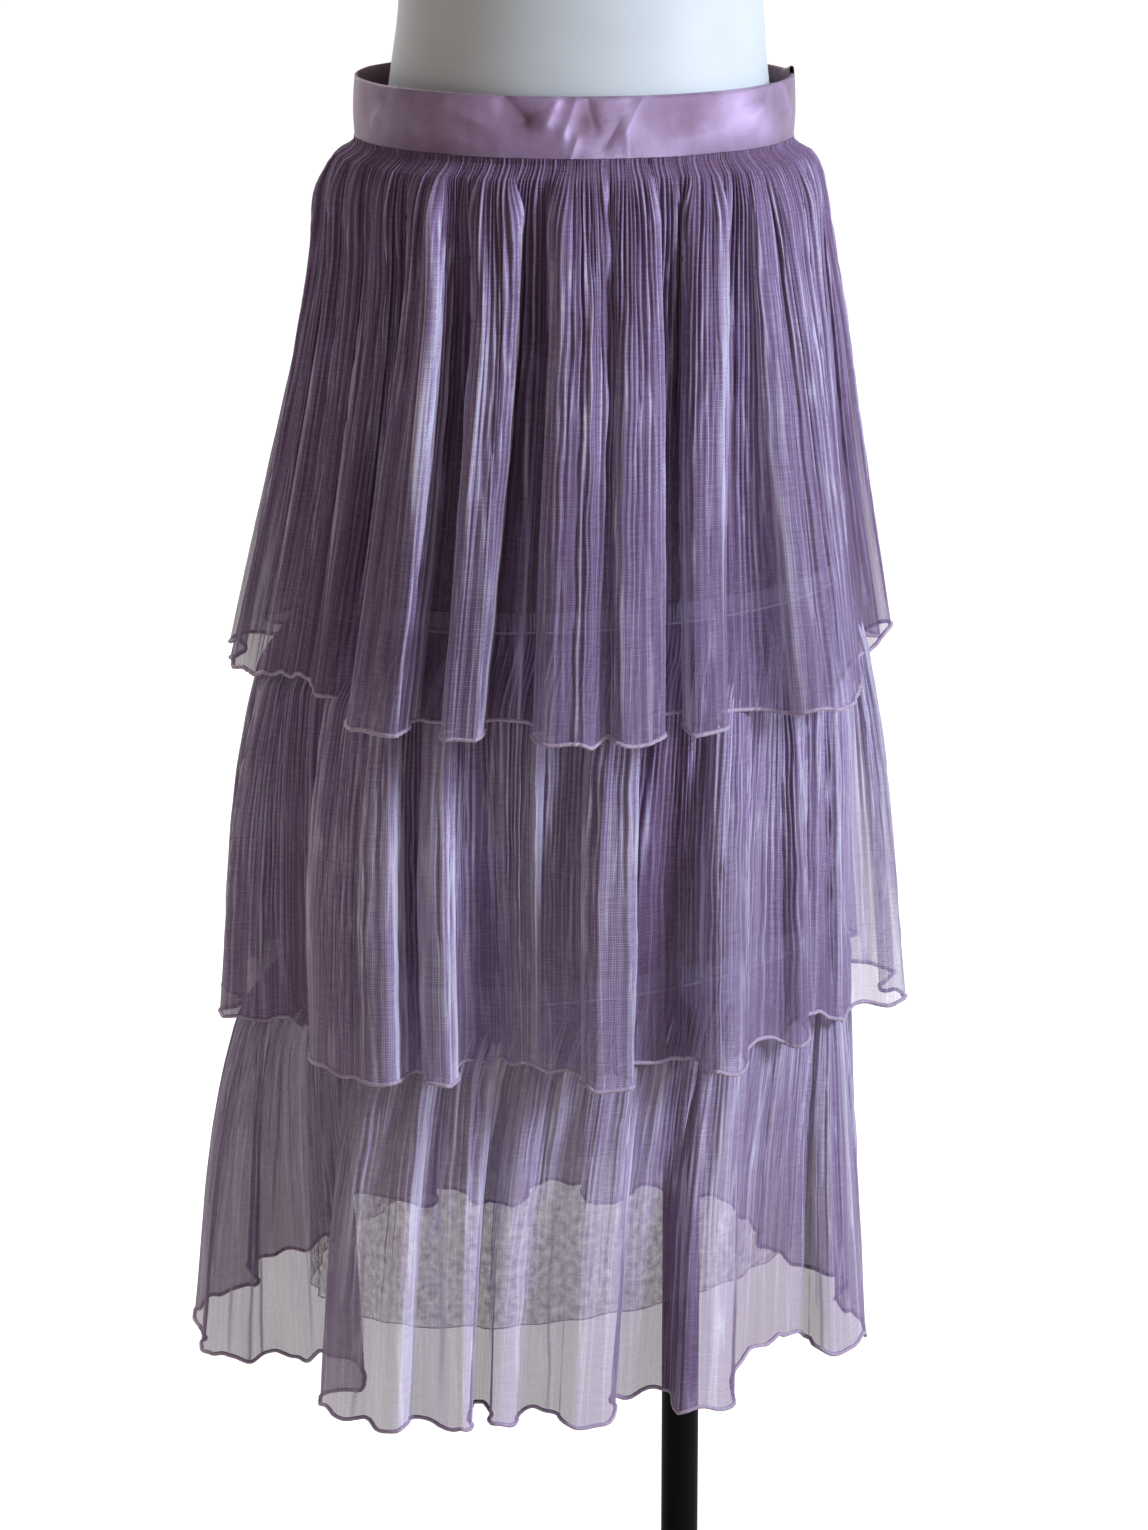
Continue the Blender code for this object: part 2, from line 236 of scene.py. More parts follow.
def cutCoordinates(tree, cell):
    # The cloth's own flat coordinates, in cells this many millimetres across and down
    cut = tree.nodes.new("ShaderNodeUVMap")
    cut.uv_map = "cut"
    mapping = tree.nodes.new("ShaderNodeMapping")
    mapping.inputs["Scale"].default_value = (1 / (cell[0] * mm), 1 / (cell[1] * mm), 1)
    tree.links.new(cut.outputs["UV"], mapping.inputs["Vector"])
    return mapping.outputs["Vector"]


def noiseNode(tree, place, scale, detail):
    noise = tree.nodes.new("ShaderNodeTexNoise")
    noise.inputs["Scale"].default_value = scale
    noise.inputs["Detail"].default_value = detail
    tree.links.new(place, noise.inputs["Vector"])
    return noise.outputs["Fac"]


def clothNoise(tree, cell, detail):
    return noiseNode(tree, cutCoordinates(tree, cell), 1.0, detail)


def colourRamp(tree, value, shader, *stops):
    # Paints the shader with colours at places from 0 to 1, in order
    node = tree.nodes.new("ShaderNodeValToRGB")
    elements = node.color_ramp.elements
    for element, (place, colour) in zip(elements, (stops[0], stops[-1])):
        element.position = place
        element.color = colour
    for place, colour in stops[1:-1]:
        elements.new(place).color = colour
    tree.links.new(value, node.inputs["Fac"])
    tree.links.new(node.outputs["Color"], shader.inputs["Base Color"])


def bumpOn(tree, shader, height, strength, distance):
    bump = tree.nodes.new("ShaderNodeBump")
    bump.inputs["Strength"].default_value = strength
    bump.inputs["Distance"].default_value = distance * mm
    tree.links.new(height, bump.inputs["Height"])
    tree.links.new(bump.outputs["Normal"], shader.inputs["Normal"])


def sheerCloth(name, look):
    # Net or tulle: threads with open cells, denser where the cloth is gathered
    sockets = {
        "Roughness": look["roughness"],
        "Sheen Weight": look["sheen"],
        "Sheen Roughness": 0.45,
        "Specular IOR Level": 0.2,
    }
    material, tree, shader = newMaterial(name, sockets)
    cells = tree.nodes.new("ShaderNodeTexVoronoi")
    cells.feature = "DISTANCE_TO_EDGE"
    cells.voronoi_dimensions = "2D"
    cells.inputs["Randomness"].default_value = 0.3
    cells.inputs["Scale"].default_value = 1.0
    tree.links.new(cutCoordinates(tree, look["netCell"]), cells.inputs["Vector"])
    threads = nearZero(tree, cells.outputs["Distance"], 0.3)
    clouds = clothNoise(tree, look["cloudCell"], 3.0)
    lines = clothNoise(tree, look["lineCell"], 2.0)
    rungs = clothNoise(tree, look["rungCell"], 2.0)
    marks = mathNode(tree, "MULTIPLY_ADD", rungs, 1.5, lines)

    # The pleats open towards the hem, and their fine lines fade there
    faded = mathNode(tree, "SUBTRACT", 0.5, lines)
    faded = mathNode(tree, "MULTIPLY", faded, attributeNode(tree, "opened"))

    # Thin sharp crinkles, along the level lines of a stretched noise
    crinkles = clothNoise(tree, look["crinkleCell"], 1.0)
    level = mathNode(tree, "ABSOLUTE", mathNode(tree, "SUBTRACT", crinkles, 0.5))
    crinkled = nearZero(tree, level, 0.045)

    # The tone starts from the painted light and shade that each piece carries; the ramp paints it from
    # a painted shade colour through the cloth's own colour to a painted highlight colour
    tone = attributeNode(tree, "crest")
    tone = addAbove(tree, tone, clouds, look["cloudTone"], 0.5)
    tone = addAbove(tree, tone, marks, look["streakTone"], 1.25)
    tone = addAbove(tree, tone, faded, look["streakTone"], 0)
    tone = addAbove(tree, tone, threads, look["netTone"], 0.4)
    tone = addAbove(tree, tone, crinkled, look["crinkleTone"], 0)
    colourRamp(tree, tone, shader, (0, look["valley"]), (0.5, look["cloth"]), (1, look["crest"]))

    cover = attributeNode(tree, "fullness")
    cover = addAbove(tree, cover, threads, look["netCover"], 0.4)
    cover = addAbove(tree, cover, clouds, look["cloudCover"], 0.5)
    cover.node.use_clamp = True
    tree.links.new(cover, shader.inputs["Alpha"])
    bumpOn(tree, shader, mathNode(tree, "MULTIPLY_ADD", threads, 0.3, marks), look["bump"], 0.8)
    return material


print("skirt: mixing the finishes")
tulle = sheerCloth("pleatedTulle", {
    "valley": (0.118, 0.055, 0.112, 1),
    "cloth": (0.295, 0.213, 0.425, 1),
    "crest": (0.64, 0.60, 0.80, 1),
    "roughness": 0.75,
    "sheen": 0.25,
    "netCell": (1.3, 1.3),
    "netCover": 0.14,
    "netTone": 0.3,
    "crinkleCell": (7, 160),
    "crinkleTone": 0.3,
    "cloudCell": (30, 90),
    "cloudTone": 0.25,
    "cloudCover": 0.08,
    "lineCell": (2.4, 60),
    "rungCell": (14, 1.3),
    "streakTone": 0.28,
    "bump": 0.5,
})
net = sheerCloth("liningNet", {
    "valley": (0.15, 0.085, 0.17, 1),
    "cloth": (0.28, 0.23, 0.33, 1),
    "crest": (0.46, 0.43, 0.52, 1),
    "roughness": 0.8,
    "sheen": 0.1,
    "netCell": (1.8, 1.8),
    "netCover": 0.2,
    "netTone": 0.2,
    "crinkleCell": (6, 8),
    "crinkleTone": 0.6,
    "cloudCell": (5, 5),
    "cloudTone": 0.5,
    "cloudCover": 1.3,
    "lineCell": (9, 12),
    "rungCell": (5, 2),
    "streakTone": 0.3,
    "bump": 0.3,
})


def rolledEdge(name, colour):
    # Cloth rolled and sewn over: a narrow bead, speckled by its stitches
    material, tree, shader = newMaterial(name, {"Roughness": 0.6, "Sheen Weight": 0.3})
    place = tree.nodes.new("ShaderNodeNewGeometry").outputs["Position"]
    speckle = noiseNode(tree, place, 900.0, 2.0)
    dark = tuple(0.7 * value for value in colour[:3]) + (1,)
    colourRamp(tree, speckle, shader, (0.35, dark), (0.65, colour))
    bumpOn(tree, shader, speckle, 0.5, 0.3)
    return material


hemFinish = rolledEdge("rolledHem", (0.46, 0.36, 0.54, 1))
threadFinish = rolledEdge("sewingThread", (0.66, 0.58, 0.80, 1))

# The lining, plain net, is what the two lower tiers are sewn to
lining = {
    "sections": [
        section(1013.7, 0, 128.7, 94.8, 86.0),
        section(1010, 0, 128.7, 94.8, 86.0),
        section(950, 0, 142, 109, 112),
        section(850, 0, 156, 121, 142),
        section(744, 0, 162, 126, 150),
        section(520, -4, 163, 139, 155),
        section(305, -10, 158, 128, 160),
    ],
    "tilt": 0.13,           # its hem rises to the right by this slope
    "columns": 220,
    "rows": 60,
    "waveDepth": 5,         # millimetres, at the hem, inward only
    "waves": 26,
    "coverTop": 0.82,
    "coverHem": 0.36,
    "hemRadius": 0.28,
    "cut": (0.56, 0.72),    # metres, each half
}


def liningLift(x, heights):
    top, hem = lining["sections"][0].height, lining["sections"][-1].height
    return lining["tilt"] * x * (top - heights) / (top - hem)


def makeLining():
    table = lining["sections"]
    heights = np.linspace(table[0].height, table[-1].height, lining["rows"])[:, None]
    rows = readTable(table, heights[:, 0])
    down = (heights[0] - heights) / (heights[0] - heights[-1])
    sheerer = smoothStep(down * 3.2 - 1.9)
    pieces = []
    for half, start in (("Front", -90), ("Back", 90)):
        bearings = np.linspace(start, start + 180, lining["columns"] + 1)
        x, y, outward, _ = outlinePoints(rows, bearings)
        wave = 0.5 + 0.5 * unevenness(bearings, lining["waves"], 11)
        out = -lining["waveDepth"] * smoothStep(down * 1.6 - 0.6) * np.clip(wave, 0, 1.2)
        z = heights + liningLift(x, heights)
        points = np.stack((x + outward[0] * out, y + outward[1] * out, z), axis=-1)
        cover = lining["coverTop"] + (lining["coverHem"] - lining["coverTop"]) * sheerer
        # Painted shade: the lining is darker at the top, where the tiers hang over it, lighter towards
        # its hem and varying with its waves
        looks = {
            "crest": 0.15 * wave + 0.7 * sheerer,
            "fullness": cover * np.ones_like(x),
            "opened": np.zeros_like(x),
        }
        piece = clothGrid("lining" + half, points, lining["cut"], looks, net)
        hem = threadAlong("liningHem" + half, points[-1], lining["hemRadius"], threadFinish)
        pieces.append((piece, hem))
    return pieces


def runOf(x, y):
    # The direction in which each closed ring runs at its points
    runX = np.roll(x, -1, axis=1) - np.roll(x, 1, axis=1)
    runY = np.roll(y, -1, axis=1) - np.roll(y, 1, axis=1)
    length = np.hypot(runX, runY) + 1e-9
    return runX / length, runY / length


def pushOut(x, y, amount):
    # Each point of closed rings moved along its ring's own outward normal
    runX, runY = runOf(x, y)
    return x + runY * amount, y - runX * amount


def tierBearings(tier, hemRow):
    # Columns all round, closer together where the hem runs in and out of deep folds
    fine = np.arange(-90, 270.01, 0.1)
    x, y, outward, along = outlinePoints(hemRow, fine)
    out, shift, _ = foldsAt(tier, fine)
    x = x[0] + outward[0][0] * out + along[0][0] * shift
    y = y[0] + outward[1][0] * out + along[1][0] * shift
    run = np.concatenate(([0], np.cumsum(np.hypot(np.diff(x), np.diff(y)))))
    run = tier["evenness"] * run / run[-1] + (1 - tier["evenness"]) * (fine + 90) / 360
    columns = tier["pleats"] * tier["columnsInPleat"]
    return np.interp(np.arange(columns) / columns, run, fine)


def bearingsFrom(middle, bearings):
    # How far round each bearing lies from the middle one, between -180 and 180
    return (bearings - middle + 180) % 360 - 180


def creasesBehind(front, seed):
    # Creases like the front ones, unevenly moved round to the back
    rng = np.random.default_rng(seed)
    return [
        mark._replace(
            bearing=180 - mark.bearing + rng.uniform(-5, 5),
            height=mark.height * rng.uniform(0.7, 1.1),
            lean=-mark.lean,
        )
        for mark in front
    ]


def creaseRelief(creases, bearings, down):
    # How far the creases stand out, and where their sharp crests run
    relief = np.zeros((len(down), len(bearings)))
    crests = np.zeros_like(relief)
    for mark in creases:
        span = (down - mark.top) / (mark.foot - mark.top)
        reached = np.clip(span, 0, 1)
        width = mark.width * (0.25 + 0.75 * reached)
        height = mark.height * (0.25 + 0.45 * reached)
        middle = mark.bearing + mark.lean * reached + 0.3 * np.sin(9 * span + mark.bearing)
        away = bearingsFrom(middle, bearings)
        shown = smoothStep(span * 3) * smoothStep((1 - span) * 3 + 0.15)
        relief = relief + height * np.exp(-np.abs(away / width) ** 1.3) * shown
        crests = crests + np.exp(-((away / 0.3) ** 2)) * shown
    return relief, np.minimum(crests, 1)


def finePleats(tier, bearings, down):
    # Pleats uneven in depth and length, that wander a little and open towards the hem
    seed = tier["seed"]
    rng = np.random.default_rng(seed)
    depths = rng.uniform(0.55, 1.35, tier["pleats"])
    ends = rng.uniform(*tier["pleatEnds"], tier["pleats"])
    lag = 4 * unevenness(bearings, 21, seed + 12)
    place = np.arange(len(bearings)) / tier["columnsInPleat"]
    place = place + 0.5 * unevenness(bearings, 62, seed + 2)
    place = place + 0.25 * unevenness(bearings, 44, seed + 1) * np.sin(5.5 * down + lag)
    place = place + 0.10 * unevenness(bearings, 95, seed + 6) * np.sin(41 * down + 2 * lag)
    place = place + 0.10 * unevenness(bearings, 70, seed + 7) * np.cos(27 * down - lag)
    number = np.floor(place + 0.5).astype(int) % tier["pleats"]
    ridge = (0.5 + 0.5 * np.cos(2 * math.pi * place)) ** tier["pleatSharpness"]
    left = smoothStep((ends[number] - down) / 0.42)
    left = tier["pleatLeft"] + (1 - tier["pleatLeft"]) * left
    share = (0.35 + 0.65 * smoothStep(np.abs(down) * 14)) * left * depths[number]
    return ridge, share


def bundledPleats(tier, bearings, down):
    # Pleats lie together in bundles that swell into folds, and are calmer at the sides
    broad = np.clip(0.5 + 0.75 * unevenness(bearings, 40, tier["seed"] + 3), 0, 1.4)
    narrow = np.clip(0.5 + 0.7 * unevenness(bearings, 84, tier["seed"] + 4), 0, 1.2)
    bundles = broad**1.5 * np.cos(1.1 * down) + 0.6 * narrow**1.5 * np.cos(1.6 * down - 0.7)
    calm = 1 - 0.7 * np.exp(-((np.cos(np.radians(bearings)) / 0.22) ** 2)) * smoothStep(down)
    return bundles * smoothStep(down * 9) * (1 - 0.35 * down) * calm


def softPatches(patches, bearings, down):
    # Each patch gives its amount at its bearing, less to the sides and none at the seam
    total = np.zeros((len(down), len(bearings)))
    for bearing, width, amount in patches:
        total = total + amount * np.exp(-((bearingsFrom(bearing, bearings) / width) ** 2))
    return total * smoothStep(down * 3)


def tierTone(tier, bearings, down, raised, edges):
    # How light the cloth is painted, from the painted shade colour at 0 to the painted highlight
    # colour at 1: painted light and shade by height, ridges, folds, edges and patches
    toneTop, toneHem = tier["tone"]
    tone = toneTop + (toneHem - toneTop) * smoothStep(down) + np.where(down < 0, tier["headerTone"], 0)
    tone = tone + raised + tier["edgeTone"] * edges + softPatches(tier["paintedShadingPatches"], bearings, down)
    knee, room = tier["toneKnee"], tier["toneRoom"]
    tone = np.where(tone > knee, knee + room * np.tanh((tone - knee) / room), tone)
    return tone + tier["edgeShine"] * edges


def tierCover(tier, bearings, down, raised, edges):
    # How much the cloth hides of what lies behind it
    opening = smoothStep(down * 0.85 + 0.05) ** 1.2
    cover = tier["coverTop"] + (tier["coverHem"] - tier["coverTop"]) * opening
    cover = cover + tier["pleatCover"] * raised
    cover = cover + tier["edgeCover"] * (1 - cover) * edges
    return cover - softPatches(tier["thin"], bearings, down)


def makeTier(tier):
    # Both halves of one tier, with its rolled hem and, where it is sewn on, its stitches
    table = tier["sections"]
    top, hem = table[0].height, table[-1].height
    stitchLine = tier.get("stitchLine", top)
    sewnOn = stitchLine < top
    header = np.linspace(top, stitchLine, 5)[:-1] if sewnOn else []
    body = stitchLine - (stitchLine - hem) * np.linspace(0, 1, tier["rows"]) ** 1.15
    heights = np.concatenate((header, body))[:, None]
    rows = readTable(table, heights[:, 0])
    folds = np.clip(rows[:, 5:], 0, None)
    down = (stitchLine - heights) / (stitchLine - hem)    # below 0 in the header
    bearings = tierBearings(tier, rows[-1:])
    seed = tier["seed"]
    x, y, outward, along = outlinePoints(rows, bearings)

    # The large folds; those of a lower tier stay clear of the lining
    foldOut, foldAlong, foldRise = foldsAt(tier, bearings)
    folded = foldOut * folds
    if sewnOn:
        innerX, innerY, _, _ = outlinePoints(readTable(lining["sections"], heights[:, 0]), bearings)
        room = (x - innerX) * outward[0] + (y - innerY) * outward[1] - tier["clearance"]
        room = np.maximum(room, 0)
        folded = np.where(folded < 0, -room * np.tanh(-folded / (room + 1e-6)), folded)
        folded = folded + tier["seamOffset"] * smoothStep(1 - down * 6)
    lag = 4 * unevenness(bearings, 13, seed + 9)
    wobble = unevenness(bearings, 34, seed + 8) * (np.sin(43 * down + lag) + np.sin(24 * down - lag))
    shift = foldAlong * folds + tier["wobble"] * wobble * smoothStep(down * 3)
    x = x + outward[0] * folded + along[0] * shift
    y = y + outward[1] * folded + along[1] * shift

    bundles = bundledPleats(tier, bearings, down)
    creases = tier["creases"] + creasesBehind(tier["creases"], seed + 10)
    creased, crests = creaseRelief(creases, bearings, down)
    settled = smoothStep(down * 4)
    x, y = pushOut(x, y, tier["bundleDepth"] * (bundles - 0.5 * settled) + creased)

    # Where a fold turns edge on, the cloth lies double and hides more, and it is painted lighter there
    # as a highlight
    runX, runY = runOf(x, y)
    facing = np.abs(runX * along[0] + runY * along[1])
    edges = np.maximum(smoothStep(1 - facing / 0.2), 0.8 * crests)

    ridge, pleatShare = finePleats(tier, bearings, down)
    x, y = pushOut(x, y, tier["pleatDepth"] * (ridge - 0.5 * settled) * pleatShare)
    nearHem = smoothStep((down - 0.82) * 5)
    waves = unevenness(bearings, 48, seed + 5) + 0.2 * unevenness(bearings, 96, seed + 11)
    z = heights + foldRise * folds + tier["hemWave"] * waves * nearHem
    if sewnOn:
        # It hangs from the lining's slope, and its hem is level
        z = z + np.minimum(1 - down, 1) * liningLift(x, heights)

    # Painted light and shade: pleat ridges, folds that stand out, creases and bundles are lighter, the
    # valleys between them darker
    raised = tier["pleatTone"] * (ridge - 0.3) * pleatShare + tier["depthTone"] * folded
    raised = raised + tier["creaseTone"] * creased + tier["bundleTone"] * (bundles - 0.5)
    looks = {
        "crest": tierTone(tier, bearings, down, raised, edges),
        "fullness": tierCover(tier, bearings, down, (ridge - 0.4) * np.minimum(pleatShare, 1), edges),
        "opened": tier["hemOpened"] * smoothStep((down - 0.5) * 2.2) * np.ones_like(x),
    }
    return cutTier(tier, np.stack((x, y, z), axis=-1), looks, len(header))


def cutTier(tier, points, looks, stitchRow):
    # The front and back halves share their points at the sides
    pieces = []
    half = points.shape[1] // 2
    for side, start in (("Front", 0), ("Back", half)):
        columns = np.arange(start, start + half + 1) % points.shape[1]
        name = tier["name"] + side
        shown = {look: values[:, columns] for look, values in looks.items()}
        piece = clothGrid(name, points[:, columns], tier["cut"], shown, tulle)
        trims = [threadAlong(name + "Hem", points[-1, columns], tier["hemRadius"], hemFinish)]
        if stitchRow > 0:
            sewn = points[stitchRow, columns]
            away = (sewn - sewn.mean(axis=0)) * (1, 1, 0)
            sewn = sewn + tier["stitchProud"] * away / np.linalg.norm(away, axis=1)[:, None]
            trims.append(threadAlong(name + "Stitches", sewn[::3], tier["stitchRadius"], threadFinish))
        pieces.append((piece, trims))
    return pieces


# What the three tiers share
everyTier = {
    "columnsInPleat": 4,
    "pleatSharpness": 2.0,
    "evenness": 0.35,       # 1 spaces the pleats evenly along the hem, 0 round the skirt
    "wobble": 0.18,
    "squareHeight": 26,
    "hemRadius": 1.3,
    "edgeCover": 0.8,
    # painted highlight along the edges of the folds
    "edgeShine": 0.2,
    "pleatCover": 0.12,
    "depthTone": 0.005,     # painted lighter for each millimetre that a fold stands out
    # painted light on creases and on bundles of pleats, painted shade between the bundles
    "creaseTone": 0.05,
    "bundleTone": 0.18,
    "toneKnee": 0.4,        # above this the tone rises less and less
    "toneRoom": 0.35,
    # for the two tiers that are sewn to the lining
    "seamOffset": 1.6,
    "stitchRadius": 0.85,
    "stitchProud": 0.6,
    "clearance": 2.0,
}
tierOne = {
    **everyTier,
    "name": "tierOne",
    "nodes": ("tier_1_front", "tier_1_back"),
    "sections": [
        section(1013.7, 0, 130.4, 96.4, 87.4),
        section(1011, 0, 130.4, 96.4, 87.4),
        section(1001, -1, 141, 107, 100, 0.08),
        section(930, -2, 153.5, 128, 131, 0.42),
        section(820, -7, 171, 150, 166, 0.75),
        section(690, -13, 194, 172, 200, 1),
    ],
    "turns": [
        turn(-90, 3),
        turn(-79, -6),
        turn(-62, -18, 4, 9),
        turn(-50, -17, 2, 2),
        turn(-43, -20, 4),
        turn(-37, 14, 18),
        turn(-32, 12, 22),
        turn(-26, -17, 14),
        turn(-19, 25, 20),
        turn(-12, -24, -4),
        turn(-6, -22),
        turn(0, 20, 3),
        turn(9, 14),
        turn(14, 21, -8),
        turn(18, 12, -5),
        turn(22, -21, -3),
        turn(27, -19, -10, 3),
        turn(33, 10, -28),
        turn(38, 1, -26),
        turn(43, -11, -14),
        turn(50, 12, -2),
        turn(56, 15),
        turn(66, 8),
        turn(76, -1, 0, 4),
        turn(84, 0, 0, 8),
        turn(91, 10, 0, 22),
        turn(98, 0, 0, 8),
        turn(106, 12),
        turn(114, -6),
        turn(122, 12),
        turn(131, -8),
        turn(139, 18, 4),
        turn(147, -9),
        turn(154, 12),
        turn(162, -18, -3),
        turn(170, 20),
        turn(178, -14),
        turn(186, 14, 4),
        turn(194, -18),
        turn(203, 16),
        turn(211, -16, -4),
        turn(219, 18),
        turn(228, -14),
        turn(237, 14, 3),
        turn(246, -16),
        turn(254, 7),
        turn(262, 1),
    ],
    "creases": [
        crease(-74, 0.30, 1.1, 2.2, 3.0, 1),
        crease(-57, 0.15, 0.95, 1.8, 3.0, 2),
        crease(-46, 0.35, 1.1, 1.4, 2.5, -1),
        crease(-33, 0.02, 0.7, 2.0, 4.5),
        crease(-21, 0.0, 0.75, 1.8, 5.0, 1),
        crease(-9, 0.25, 1.1, 1.5, 3.0, 2),
        crease(-3, 0.35, 0.95, 1.2, 3.0, -2),
        crease(3, 0.0, 0.6, 1.6, 4.0),
        crease(12, 0.10, 1.0, 1.6, 3.5, 1),
        crease(25, 0.05, 0.8, 1.4, 3.5, -2),
        crease(36, 0.0, 0.7, 1.8, 4.0),
        crease(47, 0.20, 1.1, 1.6, 3.0, 2),
        crease(60, 0.10, 0.9, 1.8, 3.0, 2),
        crease(72, 0.30, 1.1, 2.0, 2.5, 3),
    ],
    "rows": 58,
    "pleats": 440,
    "pleatDepth": 2.2,
    "pleatEnds": (0.5, 1.25),
    "pleatLeft": 0.25,
    "hemOpened": 0.6,       # the share of the fine lines that is gone at the hem
    "pleatTone": 0.6,
    "bundleDepth": 4.0,
    "tone": (0.10, 0.24),
    "edgeTone": 0.55,
    "headerTone": 0,
    "coverTop": 0.93,
    "coverHem": 0.52,
    # bearing, width and how much more open the cloth is there
    "thin": [(-79, 13, -0.24), (-60, 14, -0.25)],
    # bearing, width and how much lighter it is painted there: patches of painted light and painted
    # shade
    "paintedShadingPatches": [(-30, 3, -0.25), (-19, 3.5, 0.25), (-9, 4, 0.05), (50, 14, 0.15)],
    "hemWave": 1.4,
    "squareness": 2.0,
    "overlap": 5.0,
    "cut": (1.02, 0.335),
    "seed": 21,
}
tierTwo = {
    **everyTier,
    "name": "tierTwo",
    "nodes": ("tier_2_front", "tier_2_back"),
    "sections": [
        section(752, 0, 162, 126, 150),
        section(740, 0, 162, 126, 150),
        section(690, -9, 184, 140, 166, 0.3),
        section(590, -11, 201, 158, 195, 0.75),
        section(475, -10, 210, 166, 212, 1),
    ],
    "stitchLine": 740,
    "turns": [
        turn(-90, -1),
        turn(-84, -9),
        turn(-76, 0, 2),
        turn(-66, -20, 4, 2),
        turn(-55, -21, 5, 3),
        turn(-47, 8, 25),
        turn(-41, 14, 30),
        turn(-35, 20, 33),
        turn(-29, 2, 24),
        turn(-23, 14, 20),
        turn(-18, -16, 10, 3),
        turn(-9, -10, 6, 7),
        turn(0, -9, -3, 2),
        turn(5, -6, -7),
        turn(10, 14, -14),
        turn(14, 14, -18),
        turn(19, -18, -20, 1),
        turn(28, -19, -14, 2),
        turn(34, -1, -28),
        turn(39, 0, -34),
        turn(46, -23, -16, 4),
        turn(51, -14, -9),
        turn(58, -27, -8, 12),
        turn(68, -22, -4),
        turn(76, -20),
        turn(84, 0),
        turn(92, 4, 0, -4),
        turn(100, 0, 0, -9),
        turn(108, 7, 0, -8),
        turn(116, -14),
        turn(124, 14),
        turn(132, -18, 4),
        turn(140, 12),
        turn(149, -16),
        turn(157, 18, -4),
        turn(165, -14),
        turn(173, 14),
        turn(181, -18),
        turn(190, 16, 4),
        turn(199, -14),
        turn(207, 14),
        turn(216, -18, -3),
        turn(225, 16),
        turn(234, -14),
        turn(242, 8),
        turn(248, 1),
        turn(254, 3),
        turn(263, 1),
    ],
    "creases": [
        crease(-70, 0.2, 1.1, 1.8, 3.0, 1),
        crease(-50, 0.05, 0.9, 1.6, 3.5, 1),
        crease(-38, 0.1, 0.8, 1.6, 4.0),
        crease(-27, 0.2, 1.0, 1.4, 3.0, 1),
        crease(-13, 0.0, 0.7, 1.5, 3.0, -1),
        crease(-4, 0.2, 1.1, 1.3, 3.0),
        crease(7, 0.05, 0.8, 1.5, 3.0, 1),
        crease(17, 0.1, 0.9, 1.3, 3.5, -1),
        crease(31, 0.1, 0.9, 1.5, 3.0),
        crease(42, 0.2, 1.1, 1.4, 3.0, 1),
        crease(55, 0.1, 0.9, 1.6, 3.0, 1),
        crease(66, 0.2, 1.1, 1.8, 3.0, 2),
    ],
    "rows": 54,
    "pleats": 460,
    "pleatDepth": 2.0,
    "pleatEnds": (0.45, 1.2),
    "pleatLeft": 0.2,
    "hemOpened": 0.65,
    "pleatTone": 0.6,
    "bundleDepth": 3.2,
    "tone": (0.38, 0.45),
    "edgeTone": 0.55,
    "headerTone": 0.62,
    "coverTop": 0.88,
    "coverHem": 0.54,
    "thin": [(104, 20, 0.22), (-97, 9, 0.26), (-62, 21, -0.44), (66, 14, -0.12)],
    "paintedShadingPatches": [(-57, 5, -0.22), (-5, 10, 0.3), (24, 6, -0.26), (84, 12, 0.25)],
    "hemWave": 1.4,
    "squareness": 2.0,
    "overlap": 5.0,
    "cut": (0.98, 0.285),
    "seed": 35,
}
